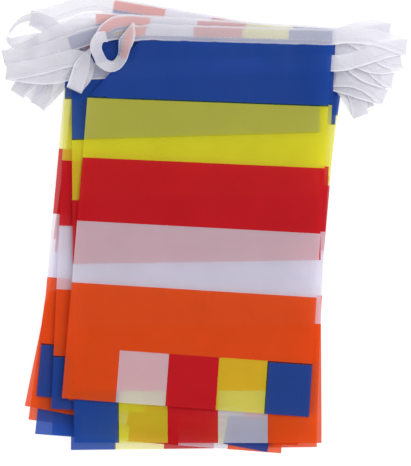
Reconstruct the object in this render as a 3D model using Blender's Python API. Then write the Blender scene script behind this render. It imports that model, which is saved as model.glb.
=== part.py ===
"""A string of sheer printed cloth flags, folded zigzag and laid down as one flat pile.

Sixteen flags hang from one header tape. The tape runs back and forth across the pile, and between
two flags it leaves the pile as a loop that ends in a fold. Every layer rests on the layers under it.
Lengths are in millimetres, x runs along the tapes, y runs up to them and z is the height.
"""

import math
from collections import namedtuple

import bpy
import numpy as np

MM = 0.001

# Cloth and tape.
FLAG_TOP = 135.0  # gathered a little where it is sewn into the tape
FLAG_HEM = 140.0
FLAG_DROP = 210.0
CLOTH = 1.0
TAPE_WIDTH = 9.0
TAPE = 1.0
SEAM_GAP = 0.37

# How the pile lies.
STEP = 1.1  # from one layer up to the next
CLOTH_MARGIN = 8.0
CLOTH_FALL = 60.0
CLOTH_LEFT = 0.5  # of a flag's lift, far outside its edges
TAPE_MARGIN = 6.0
TAPE_FALL = 20.0
LOOP_LOFT = 0.9  # a loop opens by this much over its middle
LOFT_START = 0.33  # as shares of a loop's line
LOFT_END = 0.8
LOFT_FALL = 20.0
SWELL = 0.07  # the pile is this much higher on its crests, and level in its hollows
SWELL_X = 31.0
SWELL_Y = 43.0

# No layer comes nearer to the ones below it than CLEAR, as measured on a square grid.
CLEAR = 0.35
CELL = 0.75
GRID_WIDTH = 300.0
CELLS = round(GRID_WIDTH / CELL)

# Mesh spacing.
ALONG_TAPE = 12.0
ALONG_LOOP = 5.5
FOLD_STEPS = 4
CLOTH_COLUMNS = (0.0, 0.06, 0.13, 0.24, 0.42, 0.6, 0.76, 0.87, 0.94, 1.0)
CLOTH_ROWS = (0.0, 0.035, 0.09, 0.165, 0.3, 0.48, 0.66, 0.82, 0.9, 0.95, 1.0)

# Each flag from the top of the pile down: the lower left corner of its cloth, the clockwise turns
# in degrees of its hem, of its right side and of its tape, and its width along the tape.
Flag = namedtuple("Flag", "x y hem side tape top")
FLAGS = (
    Flag(-81.1, -93.2, 4.4, 3.5, 1.7, FLAG_TOP),
    Flag(-74.3, -118.7, 0.1, -0.4, -2.0, FLAG_HEM),
    Flag(-77.4, -94.4, 3.5, 3.0, 3.7, FLAG_TOP),
    Flag(-87.3, -99.4, 2.3, 2.5, 2.3, FLAG_HEM),
    Flag(-82.2, -94.4, 4.5, 4.0, 5.0, FLAG_TOP),
    Flag(-95.8, -92.4, 4.9, 5.2, 5.0, FLAG_HEM),
    Flag(-102.5, -98.0, 10.8, 10.3, 10.0, FLAG_TOP),
    Flag(-96.7, -114.0, 4.5, 4.8, 4.5, FLAG_TOP),
    Flag(-100.6, -106.0, 6.5, 6.5, 6.5, FLAG_TOP),
    Flag(-87.3, -114.7, 2.4, 2.4, 2.4, FLAG_TOP),
    Flag(-81.1, -101.1, 5.0, 5.0, 5.0, FLAG_TOP),
    Flag(-76.6, -123.5, -0.7, -0.7, -0.7, FLAG_TOP),
    Flag(-83.3, -96.6, 3.2, 3.2, 3.2, FLAG_TOP),
    Flag(-78.8, -101.4, 1.0, 1.0, 1.0, FLAG_TOP),
    Flag(-86.4, -86.3, 8.5, 7.6, 10.0, FLAG_TOP),
    Flag(-76.6, -111.3, 2.0, 2.0, 2.0, FLAG_TOP),
)
# Flags with their upper left corner folded under: how far, as shares of the side and of the top.
Corner = namedtuple("Corner", "side top")
FOLDED = {
    1: Corner(0.164, 0.2),
    3: Corner(0.164, 0.2),
    4: Corner(0.12, 0.2),
    5: Corner(0.05, 0.09),
    6: Corner(0.13, 0.2),
}
FOLD_REACH = 0.165  # the rows below this share of the side lie as on any flag
# Where the tape comes down onto a flag, as a share of the flag's width, if not at its corner.
TAPE_STARTS = {1: 0.24, 3: 0.2, 4: 0.2, 5: 0.09, 6: 0.2}

# Where the tape loops end, by the upper flag of the two that they join, and the way they point,
# in degrees anticlockwise from x.
Tip = namedtuple("Tip", "x y heading")
RIGHT_TIPS = {
    1: Tip(112.7, 105.1, -8.0),
    3: Tip(109.9, 97.2, 20.0),
    5: Tip(105.1, 86.7, -6.0),
    7: Tip(100.3, 77.4, -25.0),
    9: Tip(87.9, 67.5, -75.0),
    11: Tip(91.2, 71.8, -60.0),
    13: Tip(104.0, 115.0, -8.0),
    15: Tip(98.6, 84.2, -20.0),
}
LEFT_TIPS = {
    2: Tip(-111.6, 91.2, 185.0),
    4: Tip(-113.6, 99.4, 187.0),
    6: Tip(-86.4, 110.7, 182.0),
    10: Tip(-106.5, 79.9, 240.0),
    12: Tip(-94.9, 73.2, 238.0),
    14: Tip(-98.3, 122.4, 173.0),
    16: Tip(-100.9, 76.8, 240.0),
}
BEND = 0.38  # how far a loop keeps its first direction, as a share of its reach
BULGE = 2.5  # how far the two strands of a loop bow apart

# Free routes of the tape: a point, the roll in degrees that raises the tape's folded edge, and
# whether the point already lies on the upper of the two layers that the route joins.
Step = namedtuple("Step", "x y roll upper")
# The free end of the string, from its tip to the fold at the top flag's tape.
CURL = (
    Step(-55.6, 110.6, 52, 1),
    Step(-59.8, 109.4, 50, 1),
    Step(-61.7, 104.8, 48, 1),
    Step(-60.0, 99.2, 48, 1),
    Step(-57.3, 95.2, 48, 1),
    Step(-53.7, 93.6, 49, 1),
    Step(-50.0, 94.6, 50, 1),
    Step(-47.5, 97.5, 50, 1),
    Step(-46.0, 101.2, 48, 1),
    Step(-45.3, 104.8, 42, 1),
    Step(-44.4, 108.5, 28, 1),
)
# That fold crosses the tape at a slant: its place along the flag's top, and the way it runs up.
Mitre = namedtuple("Mitre", "share heading")
CURL_FOLD = Mitre(0.145, 52.0)
# From the fold of the second loop to the fold of the tape that hangs beside it.
BAND = (
    Step(-102.5, 92.2, 0, 1),
    Step(-93.5, 94.2, 0, 1),
    Step(-85.0, 96.3, 0, 1),
    Step(-77.7, 98.0, 0, 1),
    Step(-72.3, 98.9, 0, 1),
    Step(-68.6, 97.4, 0, 1),
    Step(-67.2, 93.4, 0, 1),
    Step(-68.4, 88.9, 0, 1),
    Step(-71.4, 84.6, 0, 1),
)
HANGING_TIP = Tip(-73.7, 81.3, 246.0)
# From that fold, with half a twist, to the third flag's tape.
TWIST = (
    Step(-71.4, 88.1, 0, 1),
    Step(-69.0, 95.2, 30, 1),
    Step(-66.1, 101.2, 66, 1),
    Step(-62.4, 106.8, 100, 0.7),
    Step(-58.8, 112.2, 128, 0.4),
    Step(-53.9, 116.4, 152, 0.1),
    Step(-48.3, 118.6, 172, 0),
)
# The open loop that stands on edge, from the eighth flag's tape to the ninth's.
ARC = (
    Step(-82.0, 112.0, 8, 1),
    Step(-90.0, 119.5, 30, 1),
    Step(-98.3, 122.4, 60, 1),
    Step(-105.5, 120.0, 76, 1),
    Step(-110.6, 114.7, 86, 1),
    Step(-112.2, 110.4, 104, 0.7),
    Step(-108.6, 108.2, 130, 0.4),
    Step(-102.0, 108.4, 158, 0.2),
    Step(-92.0, 108.8, 176, 0),
)

WHITE = (0.80, 0.81, 0.86)
BLUE = (0.03, 0.09, 0.33)
ORANGE = (0.63, 0.06, 0.01)


def clear_scene():
    for obj in list(bpy.data.objects):
        bpy.data.objects.remove(obj, do_unlink=True)


def fabric(name, colour, roughness):
    material = bpy.data.materials.new(name)
    material.use_nodes = True
    shader = material.node_tree.nodes["Principled BSDF"]
    shader.inputs["Base Color"].default_value = (*colour, 1.0)
    shader.inputs["Roughness"].default_value = roughness
    shader.inputs["Metallic"].default_value = 0.0
    return material


def smooth(x):
    """0 up to 0, 1 from 1, and level at both ends."""
    x = np.clip(x, 0.0, 1.0)
    return x * x * (3.0 - 2.0 * x)


def along(turn):
    """The direction of x after a clockwise turn in degrees."""
    angle = math.radians(turn)
    return np.array((math.cos(angle), -math.sin(angle)))


def up(turn):
    angle = math.radians(turn)
    return np.array((math.sin(angle), math.cos(angle)))


def heading(degrees):
    angle = math.radians(degrees)
    return np.array((math.cos(angle), math.sin(angle)))


def left_of(direction):
    return np.stack((-direction[..., 1], direction[..., 0]), axis=-1)


def corners(flag):
    """The cloth's lower left, lower right, upper right and upper left corner."""
    low_left = np.array((flag.x, flag.y))
    low_right = low_left + FLAG_HEM * along(flag.hem)
    high_right = low_right + FLAG_DROP * up(flag.side)
    high_left = high_right - flag.top * along(flag.tape)
    return low_left, low_right, high_right, high_left


def tape_ends(flag):
    """The middle of the tape over a flag's upper left corner and over its upper right one."""
    _, _, right, left = corners(flag)
    rise = (SEAM_GAP + TAPE_WIDTH / 2) * up(flag.tape)
    return left + rise, right + rise


def curve(start, start_way, end, end_way, bow):
    """A loop's line on the ground, out along start_way, bowed to its left, arriving along end_way."""
    reach = BEND * np.linalg.norm(end - start)
    knots = start, start + reach * start_way, end - reach * end_way, end
    count = max(4, math.ceil(np.linalg.norm(end - start) / ALONG_LOOP))
    t = np.linspace(0.0, 1.0, count + 1)[:, None]
    weights = (1 - t) ** 3, 3 * t * (1 - t) ** 2, 3 * t * t * (1 - t), t**3
    side = left_of(end - start) / np.linalg.norm(end - start)
    return sum(w * k for w, k in zip(weights, knots)) + bow * 4 * t * (1 - t) * side


def through(rows, before, after):
    """A smooth line through the rows of a route, with their roll and layer, between two points."""
    first = (*before, rows[0].roll, rows[0].upper)
    last = (*after, rows[-1].roll, rows[-1].upper)
    keys = np.array([first, *[tuple(row) for row in rows], last], float)
    line = [keys[1]]
    for a, b, c, d in zip(keys, keys[1:], keys[2:], keys[3:]):
        count = max(1, math.ceil(np.linalg.norm((c - b)[:2]) / ALONG_LOOP))
        for t in np.arange(1, count + 1) / count:
            cubic = -a + 3 * b - 3 * c + d
            square = 2 * a - 5 * b + 4 * c - d
            line.append((2 * b + (c - a) * t + square * t * t + cubic * t**3) / 2)
    return np.array(line)


def tape_start(number):
    """The middle of the tape where it comes down onto a flag, at or near its upper left corner."""
    left, right = tape_ends(FLAGS[number - 1])
    return left + TAPE_STARTS.get(number, 0.0) * (right - left)


def strands(number):
    """The lines on the ground of the tape to the left and to the right of a flag, going outwards."""
    flag = FLAGS[number - 1]
    start, right_end = tape_start(number), tape_ends(flag)[1]
    odd = number % 2
    bow = BULGE if odd else -BULGE
    tip = RIGHT_TIPS[number if odd else number - 1]
    to_right = curve(right_end, along(flag.tape), np.array(tip[:2]), heading(tip.heading), bow)
    tip = LEFT_TIPS.get(number - 1 if odd else number)
    if number == 1:
        to_left = None
    elif number == 3:
        to_left = np.array([row[:2] for row in reversed(TWIST)])
    elif number == 8:
        to_left = np.array([start, *[row[:2] for row in ARC[:5]]])
    elif number == 9:
        to_left = np.array([start, *[row[:2] for row in reversed(ARC[4:])]])
    else:
        to_left = curve(start, -along(flag.tape), np.array(tip[:2]), heading(tip.heading), -bow)
    return to_left, to_right


def outside(points, polygon):
    """How far points lie outside a convex polygon given anticlockwise, negative inside."""
    far = np.full(len(points), -np.inf)
    for a, b in zip(polygon, np.roll(polygon, -1, axis=0)):
        side = (b - a) / np.linalg.norm(b - a)
        far = np.maximum(far, -((points - a) @ left_of(side)))
    return far


def away(points, line):
    """How far points lie from a line of straight stretches."""
    near = np.full(len(points), np.inf)
    for a, b in zip(line, line[1:]):
        reach = b - a
        t = np.clip((points - a) @ reach / (reach @ reach), 0.0, 1.0)
        near = np.minimum(near, np.linalg.norm(points - a - t[:, None] * reach, axis=1))
    return near


class Layer:
    """One layer of the pile: a flag with its tape, or a stretch of tape by itself."""

    def __init__(self, cloth=None, lines=(), lofted=()):
        self.cloth = cloth
        self.lines = [line for line in lines if line is not None]
        self.lofted = [line for line in lofted if line is not None]

    def thickness(self, points):
        """How much this layer lifts what lies over it."""
        cover = np.zeros(len(points))
        if self.cloth is not None:
            far = outside(points, self.cloth) - CLOTH_MARGIN
            cover = 1.0 - (1.0 - CLOTH_LEFT) * smooth(far / CLOTH_FALL)
        loft = np.zeros(len(points))
        for line in self.lines:
            far = away(points, line) - TAPE_WIDTH / 2
            cover = np.maximum(cover, 1.0 - smooth((far - TAPE_MARGIN) / TAPE_FALL))
        for line in self.lofted:
            middle = line[int(LOFT_START * len(line)) : math.ceil(LOFT_END * len(line))]
            far = away(points, middle) - TAPE_WIDTH / 2
            loft = np.maximum(loft, 1.0 - smooth(far / LOFT_FALL))
        return STEP * cover + LOOP_LOFT * loft


def make_pile():
    """Every layer from the bottom up, and the place in it of each named one."""
    layers, place = [], {}
    for number in range(len(FLAGS), 0, -1):
        low_left, low_right, high_right, high_left = corners(FLAGS[number - 1])
        rise = (SEAM_GAP + TAPE_WIDTH) * up(FLAGS[number - 1].tape)
        outline = np.array((low_left, low_right, high_right + rise, high_left + rise))
        to_left, to_right = strands(number)
        lofted = (to_right,) if number % 2 == 0 else (to_left,)
        if number == 1:
            tip = np.array(LEFT_TIPS[2][:2])
            hanging = np.array(HANGING_TIP[:2])
            band = np.array([tip, *[row[:2] for row in BAND], hanging])
            twist = np.array([hanging, *[row[:2] for row in TWIST[:4]]])
            place["band"] = len(layers)
            layers.append(Layer(lines=(band,), lofted=(band[-4:],)))
            place["twist"] = len(layers)
            layers.append(Layer(lines=(twist,)))
        place[number] = len(layers)
        layers.append(Layer(outline, (to_left, to_right), lofted))
    place["curl"] = len(layers)
    return layers, place


LAYERS, PLACE = make_pile()


def swell(points):
    """A soft swell of the whole pile, as a share of its height."""
    return SWELL * (1.0 + np.sin(points[:, 0] / SWELL_X) * np.cos(points[:, 1] / SWELL_Y)) / 2.0


def ground(points, layer):
    """The height of whatever lies under a layer."""
    points = np.asarray(points, float)
    height = sum(
        (under.thickness(points) for under in LAYERS[: PLACE[layer]]),
        np.zeros(len(points)),
    )
    return height * (1.0 + swell(points))


def mesh_object(name, points, faces, material):
    mesh = bpy.data.meshes.new(name)
    mesh.from_pydata([tuple(p) for p in points], [], faces)
    mesh.materials.append(material)
    mesh.shade_smooth()
    obj = bpy.data.objects.new(name, mesh)
    bpy.context.scene.collection.objects.link(obj)
    return obj


def lay_flag(number):
    """The underside of a flag as a grid of points, with the flag's own layer below it left out."""
    low_left, low_right, high_right, high_left = corners(FLAGS[number - 1])
    flat = []
    for v in CLOTH_ROWS:
        for u in CLOTH_COLUMNS:
            down = v
            if number in FOLDED and v < FOLD_REACH:
                folded = FOLDED[number].side * max(0.0, 1.0 - u / FOLDED[number].top)
                down = folded + v * (1.0 - folded / FOLD_REACH)
            top = high_left + u * (high_right - high_left)
            hem = low_left + u * (low_right - low_left)
            flat.append(top + down * (hem - top))
    flat = np.array(flat)
    return np.column_stack((flat, ground(flat, number)))


def grid_cells(columns, rows):
    """The corners of each cell of a grid that is numbered row by row."""
    return [
        (a, a + columns, a + columns + 1, a + 1)
        for row in range(rows - 1)
        for a in range(row * columns, row * columns + columns - 1)
    ]


def make_flag(number, low, material):
    """A cloth sheet over its underside."""
    points = np.concatenate((low, low + np.array((0.0, 0.0, CLOTH))))
    columns, rows = len(CLOTH_COLUMNS), len(CLOTH_ROWS)
    over = len(low)
    faces = []
    for a, b, c, d in grid_cells(columns, rows):
        faces.append((a, d, c, b))
        faces.append((over + a, over + b, over + c, over + d))
    rim = [*range(columns)]
    rim += [row * columns + columns - 1 for row in range(1, rows)]
    rim += [(rows - 1) * columns + column for column in range(columns - 2, -1, -1)]
    rim += [row * columns for row in range(rows - 2, 0, -1)]
    for a, b in zip(rim, rim[1:] + rim[:1]):
        faces.append((b, a, over + a, over + b))
    return mesh_object(f"flag_{number:02d}", points, faces, material)


# A section of the tape: points and normals across it, upper edge first, the layer it lies in, and
# the flag whose top it runs along, if any.
Ring = namedtuple("Ring", "points normals layer flag")
Fold = namedtuple("Fold", "way")  # stands between two rings that a fold joins


def directions(line):
    ways = np.gradient(line, axis=0)
    return ways / np.linalg.norm(ways, axis=1)[:, None]


def lay_tape(
    line, hand, facing, layer, rolls=None, upper=None, under=None, ways=None, flag=None
):
    """Rings along a line, each flat on its layer or rolled clear of it.

    hand is 1 where the tape's upper edge is on the left of the line. facing is 1 where its front
    faces up. upper blends the height between the layers under and layer.
    """
    ways = directions(line) if ways is None else ways
    rolls = np.zeros(len(line)) if rolls is None else np.radians(rolls)
    upper = np.ones(len(line)) if upper is None else upper
    rings = []
    for place, way, roll, share in zip(line, ways, rolls, upper):
        side = hand * left_of(way)
        across = np.array((1.0, 0.0, -1.0)) * TAPE_WIDTH / 2
        flat = place + math.cos(roll) * across[:, None] * side
        height = ground(flat, layer)
        if under is not None:
            height = share * height + (1.0 - share) * ground(flat, under)
        turned = abs(math.sin(roll))
        height = height * (1.0 - turned) + height.max() * turned
        height = height + TAPE / 2 + turned * TAPE_WIDTH / 2 + math.sin(roll) * across
        normal = np.array((*(-math.sin(roll) * side), math.cos(roll))) * facing
        on = layer if share >= 0.5 else under
        points = np.column_stack((flat, height))
        rings.append(Ring(points, np.tile(normal, (3, 1)), on, flag))
    return rings


def round_fold(before, way, after):
    """Rings round the fold between a ring and the first one of the way back."""
    middle = (before.points + after.points) / 2
    half = (before.points - after.points) / 2
    radius = np.linalg.norm(half, axis=1)[:, None]
    out = np.array((*way, 0.0))
    rings = []
    for step in range(1, FOLD_STEPS):
        angle = math.pi * step / FOLD_STEPS
        points = middle + math.cos(angle) * half + math.sin(angle) * radius * out
        sign = 1.0 if before.points[1, 2] > after.points[1, 2] else -1.0
        facing = sign * np.sign(before.normals[1, 2])
        normals = math.cos(angle) * before.normals + math.sin(angle) * facing * out
        rings.append(Ring(points, normals, None, None))
    return rings


def tape_over(number):
    """The line of the tape along a flag, from left to right."""
    left, right = tape_start(number), tape_ends(FLAGS[number - 1])[1]
    count = math.ceil(np.linalg.norm(right - left) / ALONG_TAPE)
    return left + np.linspace(0.0, 1.0, count + 1)[:, None] * (right - left)


def slanted_ring(middle, slant, normal, layer, flag=None):
    """A ring that crosses the top flag's tape at a slant, as in a mitred fold."""
    turn = FLAGS[0].tape
    reach = TAPE_WIDTH / 2 / (heading(slant) @ up(turn))
    flat = middle + np.array((1.0, 0.0, -1.0))[:, None] * reach * heading(slant)
    points = np.column_stack((flat, ground(flat, layer) + TAPE / 2))
    return Ring(points, np.tile((0.0, 0.0, normal), (3, 1)), layer, flag)


def lay_curl():
    """The free end of the string, folded at a slant where it meets the top flag's tape."""
    left, right = tape_ends(FLAGS[0])
    middle = left + CURL_FOLD.share * (right - left)
    curl = through(CURL, np.array(CURL[0][:2]) * 2 - np.array(CURL[1][:2]), middle)
    ways = directions(np.vstack((curl[:, :2], middle)))[:-1]
    rings = lay_tape(curl[:, :2], -1, -1, "curl", curl[:, 2], ways=ways)
    return [
        *rings,
        slanted_ring(middle, CURL_FOLD.heading, -1.0, "curl"),
        Fold(left_of(heading(CURL_FOLD.heading))),
        slanted_ring(middle, CURL_FOLD.heading, 1.0, 1, 1),
    ]


def lay_string():
    """All rings of the tape, from the free end at the top of the pile to the one at its bottom."""
    rings = [*lay_curl(), *lay_tape(tape_over(1), 1, 1, 1, flag=1)]
    for number in range(1, len(FLAGS) + 1):
        odd = number % 2 == 1
        hand = facing = 1 if odd else -1
        to_left, to_right = strands(number)
        if number > 1:
            route = tape_over(number) if odd else tape_over(number)[::-1]
            rings += lay_tape(route, hand, facing, number, flag=number)
        if odd:
            tip = RIGHT_TIPS[number]
            out = lay_tape(to_right, hand, facing, number)
            back = lay_tape(strands(number + 1)[1][::-1], -hand, -facing, number + 1)
            rings += [*out[1:], Fold(heading(tip.heading)), *back[:-1]]
        elif number == 2:
            rings += lay_second_loop(to_left)
        elif number == 8:
            arc = through(ARC, to_left[0], tape_start(9))
            rings += lay_tape(
                arc[:, :2], hand, facing, 8, arc[:, 2], arc[:, 3], under=9
            )
        elif number == len(FLAGS):
            rings += lay_tape(to_left, hand, facing, number)[1:]
        else:
            tip = LEFT_TIPS[number]
            out = lay_tape(to_left, hand, facing, number)
            back = lay_tape(strands(number + 1)[0][::-1], -hand, -facing, number + 1)
            rings += [*out[1:], Fold(heading(tip.heading)), *back[:-1]]
    return rings


def lay_second_loop(to_left):
    """The second loop: a fold at the left, a band back over it, a hanging fold and a half twist."""
    tip, hanging = LEFT_TIPS[2], HANGING_TIP
    start, end = np.array(tip[:2]), np.array(hanging[:2])
    out = lay_tape(to_left, -1, -1, 2)
    band = through(BAND, start, end)
    line = np.vstack((start, band[:, :2], end))
    ways = directions(line)
    ways[0], ways[-1] = -heading(tip.heading), heading(hanging.heading)
    over = lay_tape(line, 1, 1, "band", ways=ways)
    after = tape_start(3)
    twist = through(TWIST, end, after)
    line = np.vstack((end, twist[:, :2]))
    ways = directions(np.vstack((line, after)))[:-1]
    ways[0] = -heading(hanging.heading)
    back = lay_tape(
        line,
        -1,
        -1,
        "twist",
        np.concatenate(([0.0], twist[:, 2])),
        np.concatenate(([1.0], twist[:, 3])),
        under=3,
        ways=ways,
    )
    return [*out[1:], Fold(heading(tip.heading)), *over, Fold(heading(hanging.heading)), *back]


class Heap:
    """The top of what has been laid so far, on a square grid."""

    def __init__(self):
        self.top = np.full((CELLS, CELLS), -CLEAR)

    def sample(self, points, cells):
        """Points spread over four-cornered cells, with the cell that each belongs to."""
        quads = points[np.array(cells)]
        longest = max(np.linalg.norm(quads - np.roll(quads, 1, axis=1), axis=2).max(), CELL)
        share = np.linspace(0.0, 1.0, math.ceil(longest / CELL) + 1)
        u, v = (grid.ravel()[None, :, None] for grid in np.meshgrid(share, share))
        a, b, c, d = (quads[:, i : i + 1] for i in range(4))
        spread = a * (1 - u) * (1 - v) + b * (1 - u) * v + c * u * v + d * u * (1 - v)
        owner = np.repeat(np.arange(len(cells)), u.shape[1])
        return spread.reshape(-1, 3), owner

    def place(self, spread):
        cell = np.rint(spread[:, :2] / CELL).astype(int) + CELLS // 2
        return cell[:, 0], cell[:, 1]

    def lifts(self, points, cells):
        """How far each point has to rise for its cells to clear the heap."""
        spread, owner = self.sample(points, cells)
        x, y = self.place(spread)
        below = np.full(len(spread), -np.inf)
        for dx in (-1, 0, 1):
            for dy in (-1, 0, 1):
                below = np.maximum(below, self.top[x + dx, y + dy])
        need = np.zeros(len(cells))
        np.maximum.at(need, owner, below + CLEAR - spread[:, 2])
        rise = np.zeros(len(points))
        for cell, height in zip(cells, need):
            rise[list(cell)] = np.maximum(rise[list(cell)], height)
        return rise

    def add(self, points, cells, thickness):
        spread, _ = self.sample(points, cells)
        np.maximum.at(self.top, self.place(spread), spread[:, 2] + thickness)


def runs_of(string, layer):
    """Stretches of rings in a layer, with their neighbours in lower ones, as lists of numbers."""
    runs = [[]]
    for number, ring in enumerate(string):
        if isinstance(ring, Ring) and ring.layer == layer:
            runs[-1].append(number)
        elif runs[-1]:
            runs.append([])
    for run in filter(None, runs):
        for end, place in ((run[0] - 1, 0), (run[-1] + 1, len(run))):
            ring = string[end] if 0 <= end < len(string) else None
            if isinstance(ring, Ring) and PLACE[ring.layer] < PLACE[layer]:
                run.insert(place, end)
    return [run for run in runs if len(run) > 1]


def settle(string, sheets):
    """Raises every layer, from the bottom up, until it clears the ones below it."""
    heap = Heap()
    across = len(string[0].points)
    cloth_cells = grid_cells(len(CLOTH_COLUMNS), len(CLOTH_ROWS))
    for layer in sorted(PLACE, key=PLACE.get):
        laid = []
        for run in runs_of(string, layer):
            under = np.concatenate([string[number].points for number in run])
            under[:, 2] -= TAPE / 2
            cells = grid_cells(across, len(run))
            rise = heap.lifts(under, cells).reshape(-1, across).max(axis=1)
            rise = np.where([string[number].layer == layer for number in run], rise, 0.0)
            for number, height in zip(run, rise):
                string[number].points[:, 2] += height
            under[:, 2] += np.repeat(rise, across)
            laid.append((under, cells, TAPE))
        if layer in sheets:
            low = sheets[layer]
            low[:, 2] += heap.lifts(low, cloth_cells)
            laid.append((low, cloth_cells, CLOTH))
        for piece in laid:
            heap.add(*piece)


def with_folds(string):
    """The rings of the whole string, with those of its folds between them."""
    rings = []
    for number, item in enumerate(string):
        if isinstance(item, Fold):
            rings += round_fold(string[number - 1], item.way, string[number + 1])
        else:
            rings.append(item)
    return rings


def make_tape(rings, material):
    """The whole header tape as one ribbon."""
    points, faces = [], []
    for ring in rings:
        normals = ring.normals / np.linalg.norm(ring.normals, axis=1)[:, None]
        front = ring.points + normals * TAPE / 2
        back = ring.points - normals * TAPE / 2
        points += [*front, *back[::-1]]
    around = 6
    for number in range(len(rings) - 1):
        for side in range(around):
            a = number * around + side
            b = number * around + (side + 1) % around
            faces.append((a, b, b + around, a + around))
    last = len(points) - around
    for a, b, c, d in ((0, 1, 4, 5), (1, 2, 3, 4)):
        faces.append((d, c, b, a))
        faces.append((last + a, last + b, last + c, last + d))
    return mesh_object("header_tape", points, faces, material)


def centre(objects):
    """Moves the meshes so that the pile's box is centred over the origin, in metres."""
    points = np.array([v.co for obj in objects for v in obj.data.vertices])
    low, high = points.min(axis=0), points.max(axis=0)
    middle = (low + high) / 2
    middle[2] = low[2]
    for obj in objects:
        for vertex in obj.data.vertices:
            vertex.co = [(vertex.co[i] - middle[i]) * MM for i in range(3)]


def main():
    clear_scene()
    front = fabric("printed polyester, front", ORANGE, 0.7)
    back = fabric("printed polyester, back", BLUE, 0.7)
    tape = fabric("white polyester tape", WHITE, 0.6)
    string = lay_string()
    sheets = {number: lay_flag(number) for number in range(1, len(FLAGS) + 1)}
    settle(string, sheets)
    pieces = [
        make_flag(number, low, front if number % 2 else back)
        for number, low in sheets.items()
    ]
    pieces.append(make_tape(with_folds(string), tape))
    centre(pieces)


main()
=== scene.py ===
"""The folded string of flags dressed as cloth: sheer printed flags, a sewn ribbon and a stage.

The layout repeats the model's own sizes and tables, in millimetres, and the model in the frame says
where that layout lies. Every mesh is made in millimetres and scaled to metres at the end.
"""

import math
from collections import namedtuple
from functools import cache

import bpy
import numpy as np
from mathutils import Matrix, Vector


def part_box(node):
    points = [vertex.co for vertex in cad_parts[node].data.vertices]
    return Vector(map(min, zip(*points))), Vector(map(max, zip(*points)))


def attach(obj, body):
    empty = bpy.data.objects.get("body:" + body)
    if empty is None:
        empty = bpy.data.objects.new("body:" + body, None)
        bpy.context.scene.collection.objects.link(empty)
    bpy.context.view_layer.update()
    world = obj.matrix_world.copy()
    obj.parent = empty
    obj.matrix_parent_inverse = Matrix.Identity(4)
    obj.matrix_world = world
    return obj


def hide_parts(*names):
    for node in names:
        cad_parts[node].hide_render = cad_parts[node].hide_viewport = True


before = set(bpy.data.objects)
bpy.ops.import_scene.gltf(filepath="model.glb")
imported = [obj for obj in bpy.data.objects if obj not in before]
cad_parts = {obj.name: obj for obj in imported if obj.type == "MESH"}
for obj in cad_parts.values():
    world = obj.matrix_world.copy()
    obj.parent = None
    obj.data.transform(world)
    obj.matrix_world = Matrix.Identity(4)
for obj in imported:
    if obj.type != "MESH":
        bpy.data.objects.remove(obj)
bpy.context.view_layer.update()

bl_info = {
    "name": "Folded flag string",
    "version": (1, 0, 0),
    "blender": (4, 5, 0),
    "location": "View3D > Sidebar > Flag string",
    "description": "Dresses a folded string of sheer printed flags",
    "category": "Object",
}

MM = 0.001

# Print: bands from the tape's lower edge down, and the cells across the hem on the front, from the
# left. The hem's own cells repeat inside the tape.
Band = namedtuple("Band", "colour depth")
BANDS = (
    Band("blue", 33.8),
    Band("yellow", 35.5),
    Band("red", 37.0),
    Band("white", 36.0),
    Band("orange", 37.6),
)
CELLS_ACROSS = ("orange", "white", "red", "yellow", "blue")
CELL_ENDS = (0.218, 0.418, 0.622, 0.818, 1.0)  # as shares of the width, from the left of the front
OVERPRINT = 0.8  # two printed areas run over each other by this much
OVERPRINTS = {"green": "0c4038", "brown": "4a1c22"}
HEM_TOP = 1.2  # from the ribbon's folded edge down to the cloth inside it
HEM_CELLS = 5.4
# The share of light that each cloth stops, and the share of that which it passes on as glow.
Sheer = namedtuple("Sheer", "solid glow")
SHEER = {
    "blue": Sheer(0.95, 0.5),
    "yellow": Sheer(0.6, 0.35),
    "red": Sheer(0.93, 0.35),
    "white": Sheer(0.6, 0.35),
    "orange": Sheer(0.93, 0.38),
    "overprint": Sheer(0.85, 0.35),
    "ribbon": Sheer(0.5, 0.12),
    "selvedge": Sheer(0.68, 0.12),
}

# Relief of cloth and ribbon.
WEAVE_MAP = "threads"
WRINKLE_SEED = 40
PUCKER_DEPTH = 0.3
PUCKER_FALL = 9.0
Wave = namedtuple("Wave", "count short long")  # how many are summed, and their lengths
WRINKLE = Wave(6, 26.0, 80.0)
WRINKLE_WEIGHTS = (0.3, 1.0)
PLEAT = Wave(3, 5.0, 12.0)
RIBBON_WAVE = Wave(5, 7.0, 30.0)
WAVE_SUM = 3.0  # about the height of a few waves together
RIBBON_STEP = 2.4
RIBBON_GAP = 0.3
# The threads of such cloth and ribbon are about 0.1 mm apart, too fine to show in the render, so
# they are drawn this far apart, and those of the flags 1.1 mm.
RIBBON_PITCH = 0.9
WEAVE_WANDER = 0.4
WEAVE_STRENGTH = 0.35
BLOTCHES = 55.0  # to a metre, about 18 mm apart
BLOTCH_LIGHT = (0.93, 1.07)
CLOTH_ROUGHNESS = 0.55
RIBBON_ROUGHNESS = 0.5
THREAD_ROUGHNESS = 0.7
POLYESTER_IOR = 1.5
RIPPLE = 0.35
SELVEDGE = 0.55
SEAM_INSET = 2.4

# The photograph's frame holds this height of the pile's middle plane.
FRAME_HEIGHT = 263.3
PILE_MIDDLE = 20.0
FLOOR_REACH = 3.0  # metres, as are the next three
FLOOR_DROP = 0.0008
LAMP_SIZE = 1.2
LAMP_PLACE = (0.7, 0.5, 1.5)
SENSOR_MM = 36.0
LOCATED_BY = "flag_07"

# Cloth and tape.
FLAG_TOP = 135.0  # gathered a little where it is sewn into the tape
FLAG_HEM = 140.0
FLAG_DROP = 210.0
CLOTH = 1.0
TAPE_WIDTH = 9.0
TAPE = 1.0
SEAM_GAP = 0.37

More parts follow.
